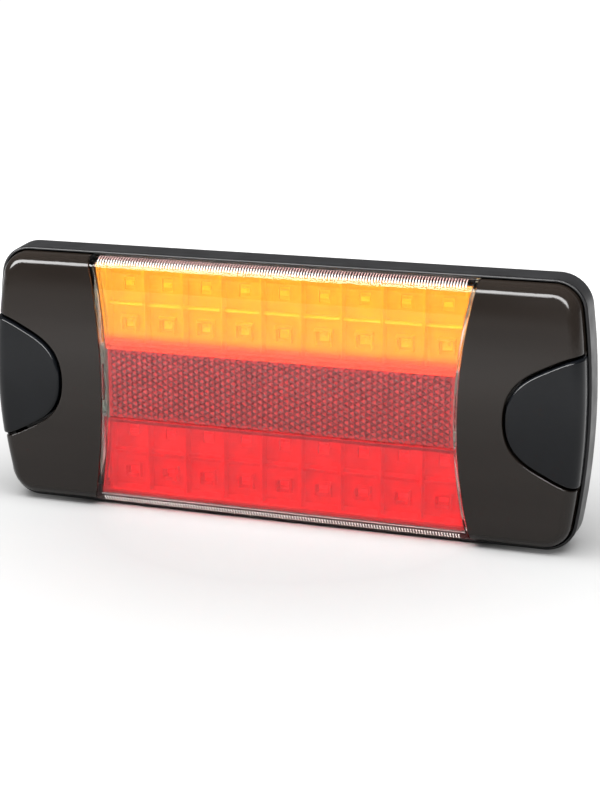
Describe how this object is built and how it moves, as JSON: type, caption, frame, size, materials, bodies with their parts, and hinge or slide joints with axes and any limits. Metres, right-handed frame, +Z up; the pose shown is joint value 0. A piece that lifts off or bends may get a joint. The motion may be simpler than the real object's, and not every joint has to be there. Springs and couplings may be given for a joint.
{
  "type": "trailer tail light",
  "caption": "Slim rectangular LED rear lamp with amber and red lens zones, a reflector band, dark end bezels and pull-off screw covers over its mounting holes.",
  "frame": {"origin": "centre of the mounting face, midway between the two mounting holes, in the plane of the back of the foot", "axes": "+X along the lamp's length, +Z up, the light shines towards -Y and the back faces +Y"},
  "size_m": [0.2398, 0.0276, 0.1048],
  "materials": {
    "base_plastic": "black moulded plastic, lightly satin",
    "clear_lens": "clear polished polycarbonate",
    "bezel_plastic": "dark brown-charcoal gloss plastic",
    "cover_plastic": "blue-black satin gloss plastic",
    "amber_lens": "transparent amber, finely fluted",
    "red_lens": "transparent red, finely fluted",
    "reflector_red": "deep red, hexagonal prism cells",
    "silvered_plastic": "metallised plastic",
    "white_plastic": "white moulded plastic",
    "led_package": "white package with a clear dome",
    "board_green": "solder mask",
    "component_black": "moulded epoxy",
    "capacitor_can": "bare can",
    "zinc_steel": "zinc plated",
    "black_rubber": "matt",
    "vent_plastic": "matt grey"
  },
  "bodies": {
    "lamp": {"base_housing": "base_plastic", "outer_lens": "clear_lens", "lens_seal": "black_rubber", "right_bezel": "bezel_plastic", "left_bezel": "bezel_plastic", "amber_filter": "amber_lens", "red_filter": "red_lens", "reflex_reflector": "reflector_red", "reflector_carrier": "white_plastic", "amber_reflector_tray": "silvered_plastic", "red_reflector_tray": "silvered_plastic", "amber_leds": "led_package", "red_leds": "led_package", "circuit_board": "board_green", "driver_chips": "component_black", "resistors": "component_black", "protection_diodes": "component_black", "capacitors": "capacitor_can", "terminal_block": "white_plastic", "board_screws": "zinc_steel", "bezel_screws": "zinc_steel", "mounting_bushes": "zinc_steel", "bush_seals": "black_rubber", "cable_grommet": "black_rubber", "breather_plug": "vent_plastic"},
    "right_cover": {"right_screw_cover": "cover_plastic"},
    "left_cover": {"left_screw_cover": "cover_plastic"}
  },
  "joints": [
    {"name": "right_cover_pull", "type": "slide", "parent": "lamp", "child": "right_cover", "axis": [0, -1, 0], "range_m": [0, 0.014]},
    {"name": "left_cover_pull", "type": "slide", "parent": "lamp", "child": "left_cover", "axis": [0, -1, 0], "range_m": [0, 0.014]}
  ]
}
